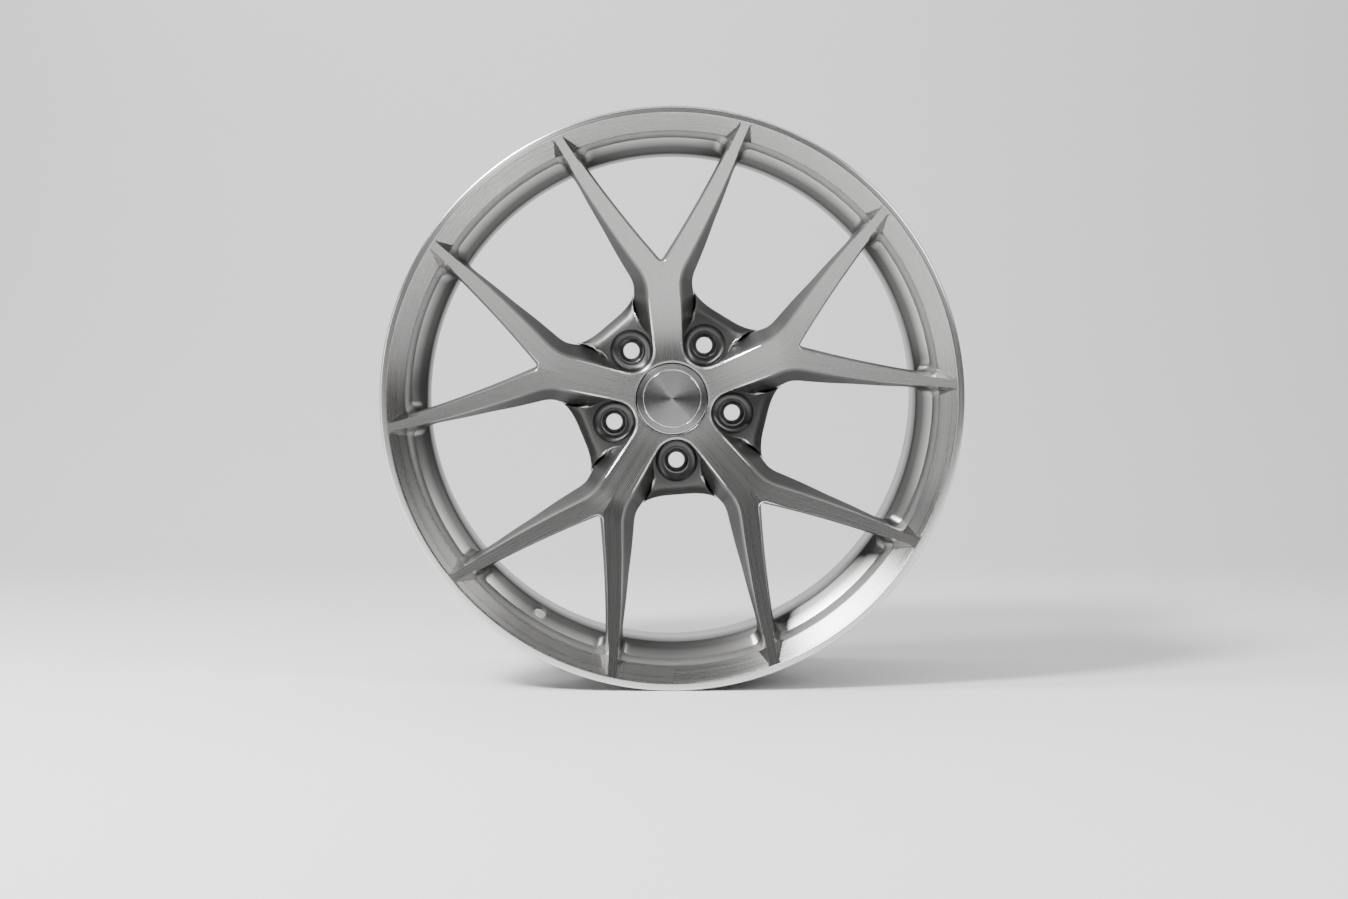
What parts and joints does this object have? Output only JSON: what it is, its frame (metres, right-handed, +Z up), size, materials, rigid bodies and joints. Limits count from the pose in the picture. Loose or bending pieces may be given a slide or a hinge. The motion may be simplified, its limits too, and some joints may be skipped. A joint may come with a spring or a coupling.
{
  "type": "wheel",
  "caption": "Forged alloy wheel with forked Y spokes, stepped barrel, conical lug seats and a pull-out centre cap.",
  "frame": {"origin": "centre of the wheel: on the axle, half way between the two rim edges", "axes": "+Y along the axle from the outboard face to the inboard side, +Z up with the wheel standing on its edge, +X to the right of someone who looks at the outboard face"},
  "size_m": [0.5472, 0.266, 0.5472],
  "materials": {
    "forging": "bare machined and brushed forging, turned round the lip and barrel, brushed along the arms",
    "seat_steel": "turned steel insert",
    "cap_face": "fine turned face with radial glints",
    "cap_clip": "moulded black nylon",
    "spring_wire": "drawn spring wire",
    "seal": "nitrile cord",
    "screws": "blackened pan head screws"
  },
  "bodies": {
    "wheel": {"rim": "forging", "hub": "forging", "spoke_1": "forging", "spoke_2": "forging", "spoke_3": "forging", "spoke_4": "forging", "spoke_5": "forging", "lug_seat_1": "seat_steel", "lug_seat_2": "seat_steel", "lug_seat_3": "seat_steel", "lug_seat_4": "seat_steel", "lug_seat_5": "seat_steel"},
    "cap": {"cap_face": "cap_face", "cap_clip": "cap_clip", "cap_spring_ring": "spring_wire", "cap_o_ring": "seal", "cap_screw_1": "screws", "cap_screw_2": "screws", "cap_screw_3": "screws", "cap_screw_4": "screws"}
  },
  "joints": [
    {"name": "cap_pull", "type": "slide", "parent": "wheel", "child": "cap", "axis": [0, -1, 0], "range_m": [0, 0.1], "deforming": ["cap_clip"]}
  ]
}
